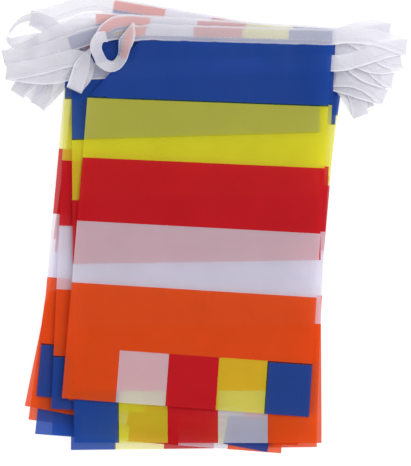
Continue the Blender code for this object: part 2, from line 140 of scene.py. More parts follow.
# How the pile lies.
STEP = 1.1  # from one layer up to the next
CLOTH_MARGIN = 8.0
CLOTH_FALL = 60.0
CLOTH_LEFT = 0.5  # of a flag's lift, far outside its edges
TAPE_MARGIN = 6.0
TAPE_FALL = 20.0
LOOP_LOFT = 0.9  # a loop opens by this much over its middle
LOFT_START = 0.33  # as shares of a loop's line
LOFT_END = 0.8
LOFT_FALL = 20.0
SWELL = 0.07  # the pile is this much higher on its crests, and level in its hollows
SWELL_X = 31.0
SWELL_Y = 43.0

# No layer comes nearer to the ones below it than CLEAR, as measured on a square grid.
CLEAR = 0.35
CELL = 0.75
GRID_WIDTH = 300.0
CELLS = round(GRID_WIDTH / CELL)

# Mesh spacing.
ALONG_TAPE = 12.0
ALONG_LOOP = 5.5
FOLD_STEPS = 4
CLOTH_COLUMNS = (0.0, 0.06, 0.13, 0.24, 0.42, 0.6, 0.76, 0.87, 0.94, 1.0)
CLOTH_ROWS = (0.0, 0.035, 0.09, 0.165, 0.3, 0.48, 0.66, 0.82, 0.9, 0.95, 1.0)

# Each flag from the top of the pile down: the lower left corner of its cloth, the clockwise turns
# in degrees of its hem, of its right side and of its tape, and its width along the tape.
Flag = namedtuple("Flag", "x y hem side tape top")
FLAGS = (
    Flag(-81.1, -93.2, 4.4, 3.5, 1.7, FLAG_TOP),
    Flag(-74.3, -118.7, 0.1, -0.4, -2.0, FLAG_HEM),
    Flag(-77.4, -94.4, 3.5, 3.0, 3.7, FLAG_TOP),
    Flag(-87.3, -99.4, 2.3, 2.5, 2.3, FLAG_HEM),
    Flag(-82.2, -94.4, 4.5, 4.0, 5.0, FLAG_TOP),
    Flag(-95.8, -92.4, 4.9, 5.2, 5.0, FLAG_HEM),
    Flag(-102.5, -98.0, 10.8, 10.3, 10.0, FLAG_TOP),
    Flag(-96.7, -114.0, 4.5, 4.8, 4.5, FLAG_TOP),
    Flag(-100.6, -106.0, 6.5, 6.5, 6.5, FLAG_TOP),
    Flag(-87.3, -114.7, 2.4, 2.4, 2.4, FLAG_TOP),
    Flag(-81.1, -101.1, 5.0, 5.0, 5.0, FLAG_TOP),
    Flag(-76.6, -123.5, -0.7, -0.7, -0.7, FLAG_TOP),
    Flag(-83.3, -96.6, 3.2, 3.2, 3.2, FLAG_TOP),
    Flag(-78.8, -101.4, 1.0, 1.0, 1.0, FLAG_TOP),
    Flag(-86.4, -86.3, 8.5, 7.6, 10.0, FLAG_TOP),
    Flag(-76.6, -111.3, 2.0, 2.0, 2.0, FLAG_TOP),
)
# Flags with their upper left corner folded under: how far, as shares of the side and of the top.
Corner = namedtuple("Corner", "side top")
FOLDED = {
    1: Corner(0.164, 0.2),
    3: Corner(0.164, 0.2),
    4: Corner(0.12, 0.2),
    5: Corner(0.05, 0.09),
    6: Corner(0.13, 0.2),
}
FOLD_REACH = 0.165  # the rows below this share of the side lie as on any flag
# Where the tape comes down onto a flag, as a share of the flag's width, if not at its corner.
TAPE_STARTS = {1: 0.24, 3: 0.2, 4: 0.2, 5: 0.09, 6: 0.2}

# Where the tape loops end, by the upper flag of the two that they join, and the way they point,
# in degrees anticlockwise from x.
Tip = namedtuple("Tip", "x y heading")
RIGHT_TIPS = {
    1: Tip(112.7, 105.1, -8.0),
    3: Tip(109.9, 97.2, 20.0),
    5: Tip(105.1, 86.7, -6.0),
    7: Tip(100.3, 77.4, -25.0),
    9: Tip(87.9, 67.5, -75.0),
    11: Tip(91.2, 71.8, -60.0),
    13: Tip(104.0, 115.0, -8.0),
    15: Tip(98.6, 84.2, -20.0),
}
LEFT_TIPS = {
    2: Tip(-111.6, 91.2, 185.0),
    4: Tip(-113.6, 99.4, 187.0),
    6: Tip(-86.4, 110.7, 182.0),
    10: Tip(-106.5, 79.9, 240.0),
    12: Tip(-94.9, 73.2, 238.0),
    14: Tip(-98.3, 122.4, 173.0),
    16: Tip(-100.9, 76.8, 240.0),
}
BEND = 0.38  # how far a loop keeps its first direction, as a share of its reach
BULGE = 2.5  # how far the two strands of a loop bow apart

# Free routes of the tape: a point, the roll in degrees that raises the tape's folded edge, and
# whether the point already lies on the upper of the two layers that the route joins.
Step = namedtuple("Step", "x y roll upper")
# The free end of the string, from its tip to the fold at the top flag's tape.
CURL = (
    Step(-55.6, 110.6, 52, 1),
    Step(-59.8, 109.4, 50, 1),
    Step(-61.7, 104.8, 48, 1),
    Step(-60.0, 99.2, 48, 1),
    Step(-57.3, 95.2, 48, 1),
    Step(-53.7, 93.6, 49, 1),
    Step(-50.0, 94.6, 50, 1),
    Step(-47.5, 97.5, 50, 1),
    Step(-46.0, 101.2, 48, 1),
    Step(-45.3, 104.8, 42, 1),
    Step(-44.4, 108.5, 28, 1),
)
# That fold crosses the tape at a slant: its place along the flag's top, and the way it runs up.
Mitre = namedtuple("Mitre", "share heading")
CURL_FOLD = Mitre(0.145, 52.0)
# From the fold of the second loop to the fold of the tape that hangs beside it.
BAND = (
    Step(-102.5, 92.2, 0, 1),
    Step(-93.5, 94.2, 0, 1),
    Step(-85.0, 96.3, 0, 1),
    Step(-77.7, 98.0, 0, 1),
    Step(-72.3, 98.9, 0, 1),
    Step(-68.6, 97.4, 0, 1),
    Step(-67.2, 93.4, 0, 1),
    Step(-68.4, 88.9, 0, 1),
    Step(-71.4, 84.6, 0, 1),
)
HANGING_TIP = Tip(-73.7, 81.3, 246.0)
# From that fold, with half a twist, to the third flag's tape.
TWIST = (
    Step(-71.4, 88.1, 0, 1),
    Step(-69.0, 95.2, 30, 1),
    Step(-66.1, 101.2, 66, 1),
    Step(-62.4, 106.8, 100, 0.7),
    Step(-58.8, 112.2, 128, 0.4),
    Step(-53.9, 116.4, 152, 0.1),
    Step(-48.3, 118.6, 172, 0),
)
# The open loop that stands on edge, from the eighth flag's tape to the ninth's.
ARC = (
    Step(-82.0, 112.0, 8, 1),
    Step(-90.0, 119.5, 30, 1),
    Step(-98.3, 122.4, 60, 1),
    Step(-105.5, 120.0, 76, 1),
    Step(-110.6, 114.7, 86, 1),
    Step(-112.2, 110.4, 104, 0.7),
    Step(-108.6, 108.2, 130, 0.4),
    Step(-102.0, 108.4, 158, 0.2),
    Step(-92.0, 108.8, 176, 0),
)


def smooth(x):
    """0 up to 0, 1 from 1, and level at both ends."""
    x = np.clip(x, 0.0, 1.0)
    return x * x * (3.0 - 2.0 * x)


def along(turn):
    """The direction of x after a clockwise turn in degrees."""
    angle = math.radians(turn)
    return np.array((math.cos(angle), -math.sin(angle)))


def up(turn):
    angle = math.radians(turn)
    return np.array((math.sin(angle), math.cos(angle)))


def heading(degrees):
    angle = math.radians(degrees)
    return np.array((math.cos(angle), math.sin(angle)))


def left_of(direction):
    return np.stack((-direction[..., 1], direction[..., 0]), axis=-1)


def corners(flag):
    """The cloth's lower left, lower right, upper right and upper left corner."""
    low_left = np.array((flag.x, flag.y))
    low_right = low_left + FLAG_HEM * along(flag.hem)
    high_right = low_right + FLAG_DROP * up(flag.side)
    high_left = high_right - flag.top * along(flag.tape)
    return low_left, low_right, high_right, high_left


def tape_ends(flag):
    """The middle of the tape over a flag's upper left corner and over its upper right one."""
    _, _, right, left = corners(flag)
    rise = (SEAM_GAP + TAPE_WIDTH / 2) * up(flag.tape)
    return left + rise, right + rise


def curve(start, start_way, end, end_way, bow):
    """A loop's line on the ground, out along start_way, bowed to its left, arriving along end_way."""
    reach = BEND * np.linalg.norm(end - start)
    knots = start, start + reach * start_way, end - reach * end_way, end
    count = max(4, math.ceil(np.linalg.norm(end - start) / ALONG_LOOP))
    t = np.linspace(0.0, 1.0, count + 1)[:, None]
    weights = (1 - t) ** 3, 3 * t * (1 - t) ** 2, 3 * t * t * (1 - t), t**3
    side = left_of(end - start) / np.linalg.norm(end - start)
    return sum(w * k for w, k in zip(weights, knots)) + bow * 4 * t * (1 - t) * side


def through(rows, before, after):
    """A smooth line through the rows of a route, with their roll and layer, between two points."""
    first = (*before, rows[0].roll, rows[0].upper)
    last = (*after, rows[-1].roll, rows[-1].upper)
    keys = np.array([first, *[tuple(row) for row in rows], last], float)
    line = [keys[1]]
    for a, b, c, d in zip(keys, keys[1:], keys[2:], keys[3:]):
        count = max(1, math.ceil(np.linalg.norm((c - b)[:2]) / ALONG_LOOP))
        for t in np.arange(1, count + 1) / count:
            cubic = -a + 3 * b - 3 * c + d
            square = 2 * a - 5 * b + 4 * c - d
            line.append((2 * b + (c - a) * t + square * t * t + cubic * t**3) / 2)
    return np.array(line)


def tape_start(number):
    """The middle of the tape where it comes down onto a flag, at or near its upper left corner."""
    left, right = tape_ends(FLAGS[number - 1])
    return left + TAPE_STARTS.get(number, 0.0) * (right - left)


def strands(number):
    """The lines on the ground of the tape to the left and to the right of a flag, going outwards."""
    flag = FLAGS[number - 1]
    start, right_end = tape_start(number), tape_ends(flag)[1]
    odd = number % 2
    bow = BULGE if odd else -BULGE
    tip = RIGHT_TIPS[number if odd else number - 1]
    to_right = curve(right_end, along(flag.tape), np.array(tip[:2]), heading(tip.heading), bow)
    tip = LEFT_TIPS.get(number - 1 if odd else number)
    if number == 1:
        to_left = None
    elif number == 3:
        to_left = np.array([row[:2] for row in reversed(TWIST)])
    elif number == 8:
        to_left = np.array([start, *[row[:2] for row in ARC[:5]]])
    elif number == 9:
        to_left = np.array([start, *[row[:2] for row in reversed(ARC[4:])]])
    else:
        to_left = curve(start, -along(flag.tape), np.array(tip[:2]), heading(tip.heading), -bow)
    return to_left, to_right


def outside(points, polygon):
    """How far points lie outside a convex polygon given anticlockwise, negative inside."""
    far = np.full(len(points), -np.inf)
    for a, b in zip(polygon, np.roll(polygon, -1, axis=0)):
        side = (b - a) / np.linalg.norm(b - a)
        far = np.maximum(far, -((points - a) @ left_of(side)))
    return far


def away(points, line):
    """How far points lie from a line of straight stretches."""
    near = np.full(len(points), np.inf)
    for a, b in zip(line, line[1:]):
        reach = b - a
        t = np.clip((points - a) @ reach / (reach @ reach), 0.0, 1.0)
        near = np.minimum(near, np.linalg.norm(points - a - t[:, None] * reach, axis=1))
    return near


class Layer:
    """One layer of the pile: a flag with its tape, or a stretch of tape by itself."""

    def __init__(self, cloth=None, lines=(), lofted=()):
        self.cloth = cloth
        self.lines = [line for line in lines if line is not None]
        self.lofted = [line for line in lofted if line is not None]

    def thickness(self, points):
        """How much this layer lifts what lies over it."""
        cover = np.zeros(len(points))
        if self.cloth is not None:
            far = outside(points, self.cloth) - CLOTH_MARGIN
            cover = 1.0 - (1.0 - CLOTH_LEFT) * smooth(far / CLOTH_FALL)
        loft = np.zeros(len(points))
        for line in self.lines:
            far = away(points, line) - TAPE_WIDTH / 2
            cover = np.maximum(cover, 1.0 - smooth((far - TAPE_MARGIN) / TAPE_FALL))
        for line in self.lofted:
            middle = line[int(LOFT_START * len(line)) : math.ceil(LOFT_END * len(line))]
            far = away(points, middle) - TAPE_WIDTH / 2
            loft = np.maximum(loft, 1.0 - smooth(far / LOFT_FALL))
        return STEP * cover + LOOP_LOFT * loft


def make_pile():
    """Every layer from the bottom up, and the place in it of each named one."""
    layers, place = [], {}
    for number in range(len(FLAGS), 0, -1):
        low_left, low_right, high_right, high_left = corners(FLAGS[number - 1])
        rise = (SEAM_GAP + TAPE_WIDTH) * up(FLAGS[number - 1].tape)
        outline = np.array((low_left, low_right, high_right + rise, high_left + rise))
        to_left, to_right = strands(number)
        lofted = (to_right,) if number % 2 == 0 else (to_left,)
        if number == 1:
            tip = np.array(LEFT_TIPS[2][:2])
            hanging = np.array(HANGING_TIP[:2])
            band = np.array([tip, *[row[:2] for row in BAND], hanging])
            twist = np.array([hanging, *[row[:2] for row in TWIST[:4]]])
            place["band"] = len(layers)
            layers.append(Layer(lines=(band,), lofted=(band[-4:],)))
            place["twist"] = len(layers)
            layers.append(Layer(lines=(twist,)))
        place[number] = len(layers)
        layers.append(Layer(outline, (to_left, to_right), lofted))
    place["curl"] = len(layers)
    return layers, place


LAYERS, PLACE = make_pile()


def swell(points):
    """A soft swell of the whole pile, as a share of its height."""
    return SWELL * (1.0 + np.sin(points[:, 0] / SWELL_X) * np.cos(points[:, 1] / SWELL_Y)) / 2.0


def ground(points, layer):
    """The height of whatever lies under a layer."""
    points = np.asarray(points, float)
    height = sum(
        (under.thickness(points) for under in LAYERS[: PLACE[layer]]),
        np.zeros(len(points)),
    )
    return height * (1.0 + swell(points))


def lay_flag(number):
    """The underside of a flag as a grid of points, with the flag's own layer below it left out."""
    low_left, low_right, high_right, high_left = corners(FLAGS[number - 1])
    flat = []
    for v in CLOTH_ROWS:
        for u in CLOTH_COLUMNS:
            down = v
            if number in FOLDED and v < FOLD_REACH:
                folded = FOLDED[number].side * max(0.0, 1.0 - u / FOLDED[number].top)
                down = folded + v * (1.0 - folded / FOLD_REACH)
            top = high_left + u * (high_right - high_left)
            hem = low_left + u * (low_right - low_left)
            flat.append(top + down * (hem - top))
    flat = np.array(flat)
    return np.column_stack((flat, ground(flat, number)))


def grid_cells(columns, rows):
    """The corners of each cell of a grid that is numbered row by row."""
    return [
        (a, a + columns, a + columns + 1, a + 1)
        for row in range(rows - 1)
        for a in range(row * columns, row * columns + columns - 1)
    ]


# A section of the tape: points and normals across it, upper edge first, the layer it lies in, and
# the flag whose top it runs along, if any.
Ring = namedtuple("Ring", "points normals layer flag")
Fold = namedtuple("Fold", "way")  # stands between two rings that a fold joins


def directions(line):
    ways = np.gradient(line, axis=0)
    return ways / np.linalg.norm(ways, axis=1)[:, None]


def lay_tape(
    line, hand, facing, layer, rolls=None, upper=None, under=None, ways=None, flag=None
):
    """Rings along a line, each flat on its layer or rolled clear of it.

    hand is 1 where the tape's upper edge is on the left of the line. facing is 1 where its front
    faces up. upper blends the height between the layers under and layer.
    """
    ways = directions(line) if ways is None else ways
    rolls = np.zeros(len(line)) if rolls is None else np.radians(rolls)
    upper = np.ones(len(line)) if upper is None else upper
    rings = []
    for place, way, roll, share in zip(line, ways, rolls, upper):
        side = hand * left_of(way)
        across = np.array((1.0, 0.0, -1.0)) * TAPE_WIDTH / 2
        flat = place + math.cos(roll) * across[:, None] * side
        height = ground(flat, layer)
        if under is not None:
            height = share * height + (1.0 - share) * ground(flat, under)
        turned = abs(math.sin(roll))
        height = height * (1.0 - turned) + height.max() * turned
        height = height + TAPE / 2 + turned * TAPE_WIDTH / 2 + math.sin(roll) * across
        normal = np.array((*(-math.sin(roll) * side), math.cos(roll))) * facing
        on = layer if share >= 0.5 else under
        points = np.column_stack((flat, height))
        rings.append(Ring(points, np.tile(normal, (3, 1)), on, flag))
    return rings


def round_fold(before, way, after):
    """Rings round the fold between a ring and the first one of the way back."""
    middle = (before.points + after.points) / 2
    half = (before.points - after.points) / 2
    radius = np.linalg.norm(half, axis=1)[:, None]
    out = np.array((*way, 0.0))
    rings = []
    for step in range(1, FOLD_STEPS):
        angle = math.pi * step / FOLD_STEPS
        points = middle + math.cos(angle) * half + math.sin(angle) * radius * out
        sign = 1.0 if before.points[1, 2] > after.points[1, 2] else -1.0
        facing = sign * np.sign(before.normals[1, 2])
        normals = math.cos(angle) * before.normals + math.sin(angle) * facing * out
        rings.append(Ring(points, normals, None, None))
    return rings


def tape_over(number):
    """The line of the tape along a flag, from left to right."""
    left, right = tape_start(number), tape_ends(FLAGS[number - 1])[1]
    count = math.ceil(np.linalg.norm(right - left) / ALONG_TAPE)
    return left + np.linspace(0.0, 1.0, count + 1)[:, None] * (right - left)


def slanted_ring(middle, slant, normal, layer, flag=None):
    """A ring that crosses the top flag's tape at a slant, as in a mitred fold."""
    turn = FLAGS[0].tape
    reach = TAPE_WIDTH / 2 / (heading(slant) @ up(turn))
    flat = middle + np.array((1.0, 0.0, -1.0))[:, None] * reach * heading(slant)
    points = np.column_stack((flat, ground(flat, layer) + TAPE / 2))
    return Ring(points, np.tile((0.0, 0.0, normal), (3, 1)), layer, flag)


def lay_curl():
    """The free end of the string, folded at a slant where it meets the top flag's tape."""
    left, right = tape_ends(FLAGS[0])
    middle = left + CURL_FOLD.share * (right - left)
    curl = through(CURL, np.array(CURL[0][:2]) * 2 - np.array(CURL[1][:2]), middle)
    ways = directions(np.vstack((curl[:, :2], middle)))[:-1]
    rings = lay_tape(curl[:, :2], -1, -1, "curl", curl[:, 2], ways=ways)
    return [
        *rings,
        slanted_ring(middle, CURL_FOLD.heading, -1.0, "curl"),
        Fold(left_of(heading(CURL_FOLD.heading))),
        slanted_ring(middle, CURL_FOLD.heading, 1.0, 1, 1),
    ]


def lay_string():
    """All rings of the tape, from the free end at the top of the pile to the one at its bottom."""
    rings = [*lay_curl(), *lay_tape(tape_over(1), 1, 1, 1, flag=1)]
    for number in range(1, len(FLAGS) + 1):
        odd = number % 2 == 1
        hand = facing = 1 if odd else -1
        to_left, to_right = strands(number)
        if number > 1:
            route = tape_over(number) if odd else tape_over(number)[::-1]
            rings += lay_tape(route, hand, facing, number, flag=number)
        if odd:
            tip = RIGHT_TIPS[number]
            out = lay_tape(to_right, hand, facing, number)
            back = lay_tape(strands(number + 1)[1][::-1], -hand, -facing, number + 1)
            rings += [*out[1:], Fold(heading(tip.heading)), *back[:-1]]
        elif number == 2:
            rings += lay_second_loop(to_left)
        elif number == 8:
            arc = through(ARC, to_left[0], tape_start(9))
            rings += lay_tape(
                arc[:, :2], hand, facing, 8, arc[:, 2], arc[:, 3], under=9
            )
        elif number == len(FLAGS):
            rings += lay_tape(to_left, hand, facing, number)[1:]
        else:
            tip = LEFT_TIPS[number]
            out = lay_tape(to_left, hand, facing, number)
            back = lay_tape(strands(number + 1)[0][::-1], -hand, -facing, number + 1)
            rings += [*out[1:], Fold(heading(tip.heading)), *back[:-1]]
    return rings


def lay_second_loop(to_left):
    """The second loop: a fold at the left, a band back over it, a hanging fold and a half twist."""
    tip, hanging = LEFT_TIPS[2], HANGING_TIP
    start, end = np.array(tip[:2]), np.array(hanging[:2])
    out = lay_tape(to_left, -1, -1, 2)
    band = through(BAND, start, end)
    line = np.vstack((start, band[:, :2], end))
    ways = directions(line)
    ways[0], ways[-1] = -heading(tip.heading), heading(hanging.heading)
    over = lay_tape(line, 1, 1, "band", ways=ways)
    after = tape_start(3)
    twist = through(TWIST, end, after)
    line = np.vstack((end, twist[:, :2]))
    ways = directions(np.vstack((line, after)))[:-1]
    ways[0] = -heading(hanging.heading)
    back = lay_tape(
        line,
        -1,
        -1,
        "twist",
        np.concatenate(([0.0], twist[:, 2])),
        np.concatenate(([1.0], twist[:, 3])),
        under=3,
        ways=ways,
    )
    return [*out[1:], Fold(heading(tip.heading)), *over, Fold(heading(hanging.heading)), *back]


class Heap:
    """The top of what has been laid so far, on a square grid."""

    def __init__(self):
        self.top = np.full((CELLS, CELLS), -CLEAR)

    def sample(self, points, cells):
        """Points spread over four-cornered cells, with the cell that each belongs to."""
        quads = points[np.array(cells)]
        longest = max(np.linalg.norm(quads - np.roll(quads, 1, axis=1), axis=2).max(), CELL)
        share = np.linspace(0.0, 1.0, math.ceil(longest / CELL) + 1)
        u, v = (grid.ravel()[None, :, None] for grid in np.meshgrid(share, share))
        a, b, c, d = (quads[:, i : i + 1] for i in range(4))
        spread = a * (1 - u) * (1 - v) + b * (1 - u) * v + c * u * v + d * u * (1 - v)
        owner = np.repeat(np.arange(len(cells)), u.shape[1])
        return spread.reshape(-1, 3), owner

    def place(self, spread):
        cell = np.rint(spread[:, :2] / CELL).astype(int) + CELLS // 2
        return cell[:, 0], cell[:, 1]

    def lifts(self, points, cells):
        """How far each point has to rise for its cells to clear the heap."""
        spread, owner = self.sample(points, cells)
        x, y = self.place(spread)
        below = np.full(len(spread), -np.inf)
        for dx in (-1, 0, 1):
            for dy in (-1, 0, 1):
                below = np.maximum(below, self.top[x + dx, y + dy])
        need = np.zeros(len(cells))
        np.maximum.at(need, owner, below + CLEAR - spread[:, 2])
        rise = np.zeros(len(points))
        for cell, height in zip(cells, need):
            rise[list(cell)] = np.maximum(rise[list(cell)], height)
        return rise

    def add(self, points, cells, thickness):
        spread, _ = self.sample(points, cells)
        np.maximum.at(self.top, self.place(spread), spread[:, 2] + thickness)


def runs_of(string, layer):
    """Stretches of rings in a layer, with their neighbours in lower ones, as lists of numbers."""
    runs = [[]]
    for number, ring in enumerate(string):
        if isinstance(ring, Ring) and ring.layer == layer:
            runs[-1].append(number)
        elif runs[-1]:
            runs.append([])
    for run in filter(None, runs):
        for end, place in ((run[0] - 1, 0), (run[-1] + 1, len(run))):
            ring = string[end] if 0 <= end < len(string) else None
            if isinstance(ring, Ring) and PLACE[ring.layer] < PLACE[layer]:
                run.insert(place, end)
    return [run for run in runs if len(run) > 1]


def settle(string, sheets):
    """Raises every layer, from the bottom up, until it clears the ones below it."""
    heap = Heap()
    across = len(string[0].points)
    cloth_cells = grid_cells(len(CLOTH_COLUMNS), len(CLOTH_ROWS))
    for layer in sorted(PLACE, key=PLACE.get):
        laid = []
        for run in runs_of(string, layer):
            under = np.concatenate([string[number].points for number in run])
            under[:, 2] -= TAPE / 2
            cells = grid_cells(across, len(run))
            rise = heap.lifts(under, cells).reshape(-1, across).max(axis=1)
            rise = np.where([string[number].layer == layer for number in run], rise, 0.0)
            for number, height in zip(run, rise):
                string[number].points[:, 2] += height
            under[:, 2] += np.repeat(rise, across)
            laid.append((under, cells, TAPE))
        if layer in sheets:
            low = sheets[layer]
            low[:, 2] += heap.lifts(low, cloth_cells)
            laid.append((low, cloth_cells, CLOTH))
        for piece in laid:
            heap.add(*piece)


def with_folds(string):
    """The rings of the whole string, with those of its folds between them."""
    rings = []
    for number, item in enumerate(string):
        if isinstance(item, Fold):
            rings += round_fold(string[number - 1], item.way, string[number + 1])
        else:
            rings.append(item)
    return rings


@cache
def settled():
    """The rings of the whole tape and the underside of every flag, as they lie in the pile."""
    string = lay_string()
    sheets = {number: lay_flag(number) for number in range(1, len(FLAGS) + 1)}
    settle(string, sheets)
    return with_folds(string), sheets


@cache
def shift():
    """What moves the layout's points to the model in the frame, in millimetres."""
    low = np.array(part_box(LOCATED_BY)[0]) / MM
    points = settled()[1][int(LOCATED_BY[-2:])]
    return low - points.min(axis=0)


def spans(at):
    """Slopes' spacing for a row of places, never zero."""
    return np.maximum(np.diff(at), 1e-6)


def refine(values, at, new):
    """Values at new places on a smooth curve through those given at places in ascending order."""
    step = spans(at).reshape(-1, *[1] * (values.ndim - 1))
    slope = np.diff(values, axis=0) / step
    middle = (slope[:-1] * step[1:] + slope[1:] * step[:-1]) / (step[:-1] + step[1:])
    slopes = np.concatenate((slope[:1], middle, slope[-1:]))
    left = np.clip(np.searchsorted(at, new, side="right") - 1, 0, len(at) - 2)
    width = step[left]
    t = (np.asarray(new) - at[left]).reshape(width.shape) / width
    start, end = values[left], values[left + 1]
    return (
        start * (1 + 2 * t) * (1 - t) ** 2
        + end * t * t * (3 - 2 * t)
        + slopes[left] * width * t * (1 - t) ** 2
        - slopes[left + 1] * width * t * t * (1 - t)
    )


@cache
def ribbon():
    """The tape as finely spaced sections: place along it, middle, across and normal."""
    rings, _ = settled()
    points = np.array([ring.points for ring in rings])
    normals = np.array([ring.normals for ring in rings])
    middle = points[:, 1]
    at = np.concatenate(([0.0], np.cumsum(np.linalg.norm(np.diff(middle, axis=0), axis=1))))
    new = [0.0]
    for a, b in zip(at, at[1:]):
        count = max(1, math.ceil((b - a) / RIBBON_STEP))
        new += list(a + (b - a) * np.arange(1, count + 1) / count)
    new = np.array(new)
    fine = refine(points, at, new)
    across = (fine[:, 0] - fine[:, 2]) / TAPE_WIDTH
    slant = np.linalg.norm(across, axis=1)[:, None]
    across /= np.minimum(slant, 1.0)  # longer than 1 only where the tape is crossed at a slant
    normal = refine(normals[:, 1], at, new)
    normal -= (normal * across).sum(axis=1)[:, None] * across / (across**2).sum(axis=1)[:, None]
    normal /= np.linalg.norm(normal, axis=1)[:, None]
    corners_at = {}
    for number in range(1, len(FLAGS) + 1):
        run = [place for ring, place in zip(rings, at) if ring.flag == number]
        corners_at[number] = run[-1] if number % 2 else run[0]
    return new, fine[:, 1], across, normal, corners_at


def on_ribbon(places):
    """Middle, across and normal of the tape at places along it."""
    at, middle, across, normal, _ = ribbon()
    found = []
    for values in (middle, across, normal):
        found.append(np.stack([np.interp(places, at, values[:, i]) for i in range(3)], axis=1))
    return found


def linear(code):
    """A colour such as "d8481c", in sRGB, as linear red, green and blue."""
    channels = [int(code[i : i + 2], 16) / 255 for i in (0, 2, 4)]
    return tuple(c / 12.92 if c <= 0.04045 else ((c + 0.055) / 1.055) ** 2.4 for c in channels)


def add(tree, kind, links=None, **settings):
    """A node with its settings, and its inputs linked or set."""
    node = tree.nodes.new(kind)
    for name, value in settings.items():
        setattr(node, name, value)
    for name, value in (links or {}).items():
        if isinstance(value, bpy.types.NodeSocket):
            tree.links.new(value, node.inputs[name])
        else:
            node.inputs[name].default_value = value
    return node


def bare_material(name):
    material = bpy.data.materials.new(name)
    material.use_nodes = True
    material.node_tree.nodes.clear()
    return material


def weave(tree, pitch, depth):
    """The bump of a plain weave with its threads pitch metres apart, and its height."""
    places = add(tree, "ShaderNodeUVMap", uv_map=WEAVE_MAP)
    scale = math.pi / (10.0 * pitch)  # a wave texture has a crest every pi / 10 / scale
    height = None
    for direction in "XY":
        wave = add(
            tree,
            "ShaderNodeTexWave",
            {"Vector": places.outputs["UV"], "Scale": scale, "Distortion": WEAVE_WANDER},
            bands_direction=direction,
        )
        links = {0: wave.outputs["Fac"]}
        if height is not None:
            links[1] = height
        height = add(tree, "ShaderNodeMath", links, operation="ADD").outputs[0]
    bump = add(tree, "ShaderNodeBump", {"Height": height, "Strength": WEAVE_STRENGTH, "Distance": depth})
    return bump.outputs["Normal"], places.outputs["UV"]


def cloth_material(name, colour, sheer, roughness, pitch, settings):
    """Sheer woven polyester: partly see-through, partly lit through, with a slight sheen.

    To the eye it is a thin voile that glows a little from below, shows the edges of what lies
    under it, and is uneven in its tone and thread.
    """
    material = bare_material(name)
    tree = material.node_tree
    normal, places = weave(tree, pitch, settings.thread * MM)
    blotch = add(
        tree, "ShaderNodeTexNoise", {"Vector": places, "Scale": BLOTCHES, "Detail": 3.0}
    )
    range_ = add(
        tree,
        "ShaderNodeMapRange",
        {"Value": blotch.outputs["Fac"], "To Min": BLOTCH_LIGHT[0], "To Max": BLOTCH_LIGHT[1]},
    )
    uneven = add(
        tree,
        "ShaderNodeHueSaturation",
        {"Color": (*colour, 1.0), "Value": range_.outputs["Result"]},
    ).outputs["Color"]
    face = add(
        tree,
        "ShaderNodeBsdfPrincipled",
        {
            "Base Color": uneven,
            "Roughness": roughness,
            "IOR": POLYESTER_IOR,
            "Specular IOR Level": 0.2,
            "Sheen Weight": 0.05,
            "Sheen Roughness": 0.4,
            "Normal": normal,
        },
    )
    through = add(tree, "ShaderNodeBsdfTranslucent", {"Color": uneven, "Normal": normal})
    cloth = add(
        tree,
        "ShaderNodeMixShader",
        {0: sheer.glow, 1: face.outputs[0], 2: through.outputs[0]},
    )
    clear = add(tree, "ShaderNodeBsdfTransparent", {"Color": (1.0, 1.0, 1.0, 1.0)})
    voile = add(
        tree,
        "ShaderNodeMixShader",
        {0: sheer.solid, 1: clear.outputs[0], 2: cloth.outputs[0]},
    )
    add(tree, "ShaderNodeOutputMaterial", {"Surface": voile.outputs[0]})
    return material


def plain_material(name, colour, roughness):
    """An opaque finish, as of spun thread, which looks matt and soft beside the ribbon."""
    material = bare_material(name)
    tree = material.node_tree
    shader = add(
        tree,
        "ShaderNodeBsdfPrincipled",
        {"Base Color": (*colour, 1.0), "Roughness": roughness},
    )
    add(tree, "ShaderNodeOutputMaterial", {"Surface": shader.outputs[0]})
    return material


def light_table(colour, glow):
    """Opal acrylic lit from below: white with hardly a shadow, and it lights the sheer cloth."""
    material = plain_material("opal acrylic light table", colour, 0.9)
    shader = material.node_tree.nodes["Principled BSDF"]
    shader.inputs["Emission Color"].default_value = (1.0, 1.0, 1.0, 1.0)
    shader.inputs["Emission Strength"].default_value = glow
    return material


def mesh_piece(name, points, faces, materials, slots=None, places=None):
    """An object in metres from points in the layout's millimetres, riding on the one body."""
    mesh = bpy.data.meshes.new(name)
    world = (np.asarray(points) + shift()) * MM
    world[:, 2] = np.maximum(world[:, 2], 0.0)  # nothing sinks into the surface below
    mesh.from_pydata(world.tolist(), [], faces)
    for material in materials:
        mesh.materials.append(material)
    if slots is not None:
        mesh.polygons.foreach_set("material_index", slots)
    if places is not None:
        layer = mesh.uv_layers.new(name=WEAVE_MAP)
        corners_of = np.empty(len(mesh.loops), dtype=np.int32)
        mesh.loops.foreach_get("vertex_index", corners_of)
        layer.uv.foreach_set("vector", (np.asarray(places)[corners_of] * MM).ravel())
    mesh.shade_smooth()
    obj = bpy.data.objects.new(name, mesh)
    bpy.context.scene.collection.objects.link(obj)
    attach(obj, "root")
    return obj


def levels(stops, step):
    """Places from the first stop to the last, through every stop, no more than step apart."""
    places = [stops[0]]
    for a, b in zip(stops, stops[1:]):
        count = max(1, math.ceil((b - a) / step - 1e-6))
        places += list(a + (b - a) * np.arange(1, count + 1) / count)
    return np.array(places)


def band_stops():
    """The lines across a flag, from the tape's lower edge down, where the print changes."""
    stops = [0.0]
    edge = 0.0
    for band in BANDS:
        edge += band.depth
        stops += [edge, edge + OVERPRINT]
    return stops


def cell_at(across):
    """The number of the cell at a place across the front of a flag, as a share of its width."""
    return min(int(np.searchsorted(CELL_ENDS, across)), len(CELL_ENDS) - 1)


